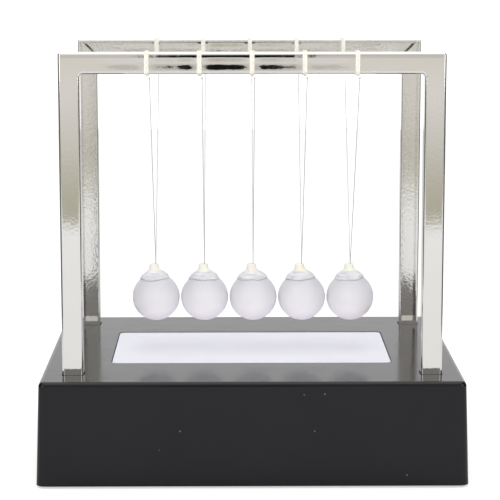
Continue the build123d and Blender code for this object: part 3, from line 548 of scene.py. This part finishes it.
def cap_profile(ball_radius, top):
    """(radius, height) points of a cap's wall: up its outside from the edge, and down the line's hole."""
    inside = ball_radius + CAP_GAP
    edge_radius = math.sqrt(inside**2 - SKIRT_EDGE**2)
    slope = (NIPPLE_ROOT - SHOULDER_HEIGHT) / (SHOULDER_RADIUS - NIPPLE_RADIUS)
    points = [
        (edge_radius, SKIRT_EDGE),
        (edge_radius + 0.22, SKIRT_EDGE - 0.16),
        (SKIRT_RADIUS + 0.05, SKIRT_EDGE + 0.05),
        (SKIRT_RADIUS - 0.15, SKIRT_EDGE + 0.6),
        (SHOULDER_RADIUS + 0.15, SHOULDER_HEIGHT - 0.7),
        (SHOULDER_RADIUS - 0.12, SHOULDER_HEIGHT - 0.15),
        (SHOULDER_RADIUS - 0.6, SHOULDER_HEIGHT + 0.28),
    ]
    for radius in (4.8, 4.0):
        points.append((radius, SHOULDER_HEIGHT + slope * (SHOULDER_RADIUS - radius)))
    points += [
        (NIPPLE_RADIUS + 0.6, NIPPLE_ROOT - 0.25),
        (NIPPLE_RADIUS + 0.12, NIPPLE_ROOT + 0.15),
        (NIPPLE_RADIUS - 0.05, NIPPLE_ROOT + 0.8),
        ((NIPPLE_RADIUS + NIPPLE_TOP_RADIUS) / 2, (NIPPLE_ROOT + top) / 2 + 0.2),
        (NIPPLE_TOP_RADIUS, top - 0.45),
        (NIPPLE_TOP_RADIUS - 0.2, top - 0.08),
        (NIPPLE_TOP_RADIUS - 0.55, top),
        (LINE_HOLE_RADIUS + 0.3, top - 0.25),
        (LINE_HOLE_RADIUS, top - 1.0),
        (LINE_HOLE_RADIUS, top - LINE_HOLE_DEPTH),
        (0.0, top - LINE_HOLE_DEPTH),
    ]
    return points


def make_cap(number):
    """A glued cap: a skirt with a wavy edge that hugs the ball, and a nipple that leans to the left."""
    ball_low, ball_high = (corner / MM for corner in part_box(f"ball_{number}"))
    centre = (ball_low + ball_high) / 2
    ball_radius = (ball_high.x - ball_low.x) / 2
    inside = ball_radius + CAP_GAP
    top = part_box(f"cap_{number}")[1].z / MM - centre.z - CAP_CLEARANCE
    phases = [random.uniform(0, 2 * math.pi) for _ in CAP_WAVES]
    profile = cap_profile(ball_radius, top)
    ring = len(profile) + CAP_LINING
    points = []
    for column in range(CAP_COLUMNS):
        turn = 2 * math.pi * column / CAP_COLUMNS
        wave = 0.0
        for (count, rise), phase in zip(CAP_WAVES, phases):
            wave += rise * math.sin(count * turn + phase)
        wall = []
        for index, (radius, height) in enumerate(profile):
            # the wave moves the skirt's edge along the ball and dies out towards the nipple
            fade = max(0.0, 1.0 - index / CAP_FADE)
            reach = math.hypot(radius, height)
            angle = math.atan2(height, radius) + fade * wave / ball_radius
            wall.append((reach * math.cos(angle), reach * math.sin(angle)))
        # and back inside the skirt, along the ball from its pole to the edge
        edge_angle = math.atan2(wall[0][1], wall[0][0])
        for step in range(CAP_LINING):
            angle = math.pi / 2 - (math.pi / 2 - edge_angle) * step / CAP_LINING
            wall.append((inside * math.cos(angle), inside * math.sin(angle)))
        points += [(r * math.cos(turn), r * math.sin(turn), z) for r, z in wall]
    faces = []
    for column in range(CAP_COLUMNS):
        here = column * ring
        after = (column + 1) % CAP_COLUMNS * ring
        for row in range(ring):
            above = (row + 1) % ring
            faces.append((here + row, after + row, after + above, here + above))
    tilt = Matrix.Rotation(-math.radians(CAP_LEANS[number - 1]), 3, "Y")
    placed = [tilt @ Vector(point) + centre for point in points]
    look = milky_cap(number, CAP_TINTS[number - 1], centre.z)
    piece = add_mesh(f"cap_{number}_glued", placed, faces, look)
    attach(piece, f"pendulum_{number}")
    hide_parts(f"cap_{number}")


# ---------------------------------------------------------------- stage, light and camera


def stage_plane(name, corners):
    """A flat piece of the stage with a plain material. Returns both."""
    mesh = bpy.data.meshes.new(name)
    mesh.from_pydata(corners, [], [range(len(corners))])
    plane = add_object(name, mesh)
    material = bpy.data.materials.new(name)
    material.use_nodes = True
    material.node_tree.nodes["Principled BSDF"].inputs["Specular IOR Level"].default_value = 0.0
    mesh.materials.append(material)
    return plane, material.node_tree


def stage_card(name, corners, colour):
    """A card of the stage that shows its colour in reflections only."""
    card, tree = stage_plane(name, corners)
    surface = tree.nodes["Principled BSDF"]
    surface.inputs["Base Color"].default_value = (0.0, 0.0, 0.0, 1.0)
    surface.inputs["Emission Color"].default_value = (*colour, 1.0)
    surface.inputs["Emission Strength"].default_value = 1.0
    card.visible_camera = False
    card.visible_diffuse = False
    card.visible_transmission = False
    card.visible_shadow = False
    return tree


def make_floor():
    """A white floor that is a little brighter straight from the camera than in reflections."""
    reach, back = 6.0, 1.5
    white, camera_lift = 0.67, 0.50
    corners = [(-reach, -reach, 0), (reach, -reach, 0), (reach, back, 0), (-reach, back, 0)]
    tree = stage_plane("floor", corners)[1]
    surface = tree.nodes["Principled BSDF"]
    surface.inputs["Base Color"].default_value = (white, white, white, 1.0)
    surface.inputs["Emission Color"].default_value = (1.0, 1.0, 1.0, 1.0)
    path = tree.nodes.new("ShaderNodeLightPath")
    lift = tree.nodes.new("ShaderNodeMath")
    lift.operation = "MULTIPLY"
    lift.inputs[1].default_value = camera_lift
    tree.links.new(path.outputs["Is Camera Ray"], lift.inputs[0])
    tree.links.new(lift.outputs["Value"], surface.inputs["Emission Strength"])


def gradient_along_y(tree, coordinates, low, high, stops):
    """A colour that follows Y from low to high through its stops. Returns its output."""
    place = tree.nodes.new("ShaderNodeTexCoord")
    split = tree.nodes.new("ShaderNodeSeparateXYZ")
    span = tree.nodes.new("ShaderNodeMapRange")
    ramp = tree.nodes.new("ShaderNodeValToRGB")
    span.inputs["From Min"].default_value = low
    span.inputs["From Max"].default_value = high
    tree.links.new(place.outputs[coordinates], split.inputs["Vector"])
    tree.links.new(split.outputs["Y"], span.inputs["Value"])
    tree.links.new(span.outputs["Result"], ramp.inputs["Fac"])
    elements = ramp.color_ramp.elements
    while len(elements) < len(stops):
        elements.new(1.0)
    for element, (position, colour) in zip(elements, stops):
        element.position = position
        element.color = (*colour, 1.0)
    return ramp.outputs["Color"]


def make_cards():
    """What the plating mirrors: the room past the table, the camera, and dark flanks."""
    edge_y, far_y, lift = -0.80, -4.2, 0.002
    corners = [(-4, edge_y, lift), (-4, far_y, lift), (4, far_y, lift), (4, edge_y, lift)]
    tree = stage_card("room_floor", corners, (0.60, 0.59, 0.56))
    stops = [
        (0.00, (0.44, 0.42, 0.34)),
        (0.06, (0.50, 0.48, 0.40)),
        (0.18, (0.64, 0.62, 0.57)),
        (0.38, (0.76, 0.73, 0.71)),
        (0.70, (0.72, 0.69, 0.62)),
        (1.00, (0.70, 0.67, 0.60)),
    ]
    room = gradient_along_y(tree, "Object", edge_y, far_y, stops)
    tree.links.new(room, tree.nodes["Principled BSDF"].inputs["Emission Color"])
    y, left, right, low, high = -0.95, -0.075, 0.062, 0.165, 0.50
    corners = [(left, y, low), (right, y, low), (right, y, high), (left, y, high)]
    stage_card("camera_shape", corners, (0.008, 0.008, 0.009))
    # the gaps between the flank cards let the portals' sides look bright straight from the side
    flank_spans = [(-0.25, -0.090), (-0.058, 0.058), (0.090, 0.30)]
    for hand, side_name in ((-1, "left"), (1, "right")):
        for number, (front_y, rear_y) in enumerate(flank_spans, start=1):
            x, low, top = hand * 0.36, 0.004, 0.5
            corners = [(x, front_y, low), (x, rear_y, low), (x, rear_y, top), (x, front_y, top)]
            stage_card(f"flank_{side_name}_{number}", corners, (0.005, 0.005, 0.005))


def make_world():
    """Bright behind and in front, darker at the sides, and white straight or through the balls."""
    world = bpy.data.worlds.new("studio")
    world.use_nodes = True
    tree = world.node_tree
    tree.nodes.clear()
    output = tree.nodes.new("ShaderNodeOutputWorld")
    background = tree.nodes.new("ShaderNodeBackground")
    path = tree.nodes.new("ShaderNodeLightPath")
    seen = tree.nodes.new("ShaderNodeMix")
    seen.data_type = "RGBA"
    stops = [
        (0.00, (0.60, 0.58, 0.55)),
        (0.30, (0.80, 0.79, 0.77)),
        (0.40, (0.45, 0.45, 0.45)),
        (0.55, (0.45, 0.45, 0.45)),
        (0.64, (1.00, 1.00, 1.00)),
    ]
    around = gradient_along_y(tree, "Generated", -1.0, 1.0, stops)
    plain = tree.nodes.new("ShaderNodeMath")
    plain.operation = "MAXIMUM"
    tree.links.new(path.outputs["Is Camera Ray"], plain.inputs[0])
    tree.links.new(path.outputs["Is Transmission Ray"], plain.inputs[1])
    tree.links.new(plain.outputs["Value"], seen.inputs["Factor"])
    tree.links.new(around, seen.inputs[6])
    seen.inputs[7].default_value = (1.3, 1.3, 1.3, 1.0)
    tree.links.new(seen.outputs[2], background.inputs["Color"])
    tree.links.new(background.outputs["Background"], output.inputs["Surface"])
    bpy.context.scene.world = world


def softbox(name, place, target, size, radiance):
    """A rectangular light whose face has the given brightness."""
    data = bpy.data.lights.new(name, "AREA")
    data.shape = "RECTANGLE"
    data.size, data.size_y = size
    data.energy = radiance * math.pi * size[0] * size[1]
    light = add_object(name, data)
    light.location = place
    light.rotation_euler = (Vector(target) - Vector(place)).to_track_quat("-Z", "Y").to_euler()
    return light


def make_lights():
    """Three boxes that the plating mirrors, and a fill from the front that it doesn't."""
    softbox("overhead", (0.0, -0.1, 1.3), (0.0, 0.0, 0.0), (1.2, 1.2), 1.3)
    fill = softbox("front_fill", (0.0, -2.0, 0.5), (0.0, 0.0, 0.10), (2.4, 0.8), 3.3)
    fill.visible_glossy = False
    for hand, name in ((-1, "left_box"), (1, "right_box")):
        softbox(name, (hand * 1.05, -1.0, 0.62), (0.0, 0.0, 0.10), (0.8, 1.2), 1.2)


def make_camera():
    """The camera at the photograph's place and angle."""
    data = bpy.data.cameras.new("camera")
    data.sensor_width = SENSOR
    data.lens = FOCAL_PIXELS / PICTURE_PIXELS * SENSOR
    data.clip_start = 0.01
    camera = add_object("camera", data)
    camera.location = CAMERA_PLACE
    camera.rotation_euler = (math.radians(90 - CAMERA_PITCH), 0, math.radians(-CAMERA_YAW))
    bpy.context.scene.camera = camera


# ---------------------------------------------------------------- build

bpy.context.scene.view_settings.view_transform = "Standard"
make_camera()
nylon_look = nylon()
for number in range(1, BALL_COUNT + 1):
    make_line(number, nylon_look)
dress_cad()
thread_looks = [
    thread("pale_thread", (0.88, 0.87, 0.80), (0.72, 0.70, 0.62)),
    thread("cream_thread", (0.88, 0.84, 0.68), (0.72, 0.66, 0.48)),
]
make_windings(-1, "front_wraps", thread_looks)
make_windings(1, "rear_wraps", thread_looks)
for number in range(1, BALL_COUNT + 1):
    make_cap(number)
make_floor()
make_cards()
make_world()
make_lights()
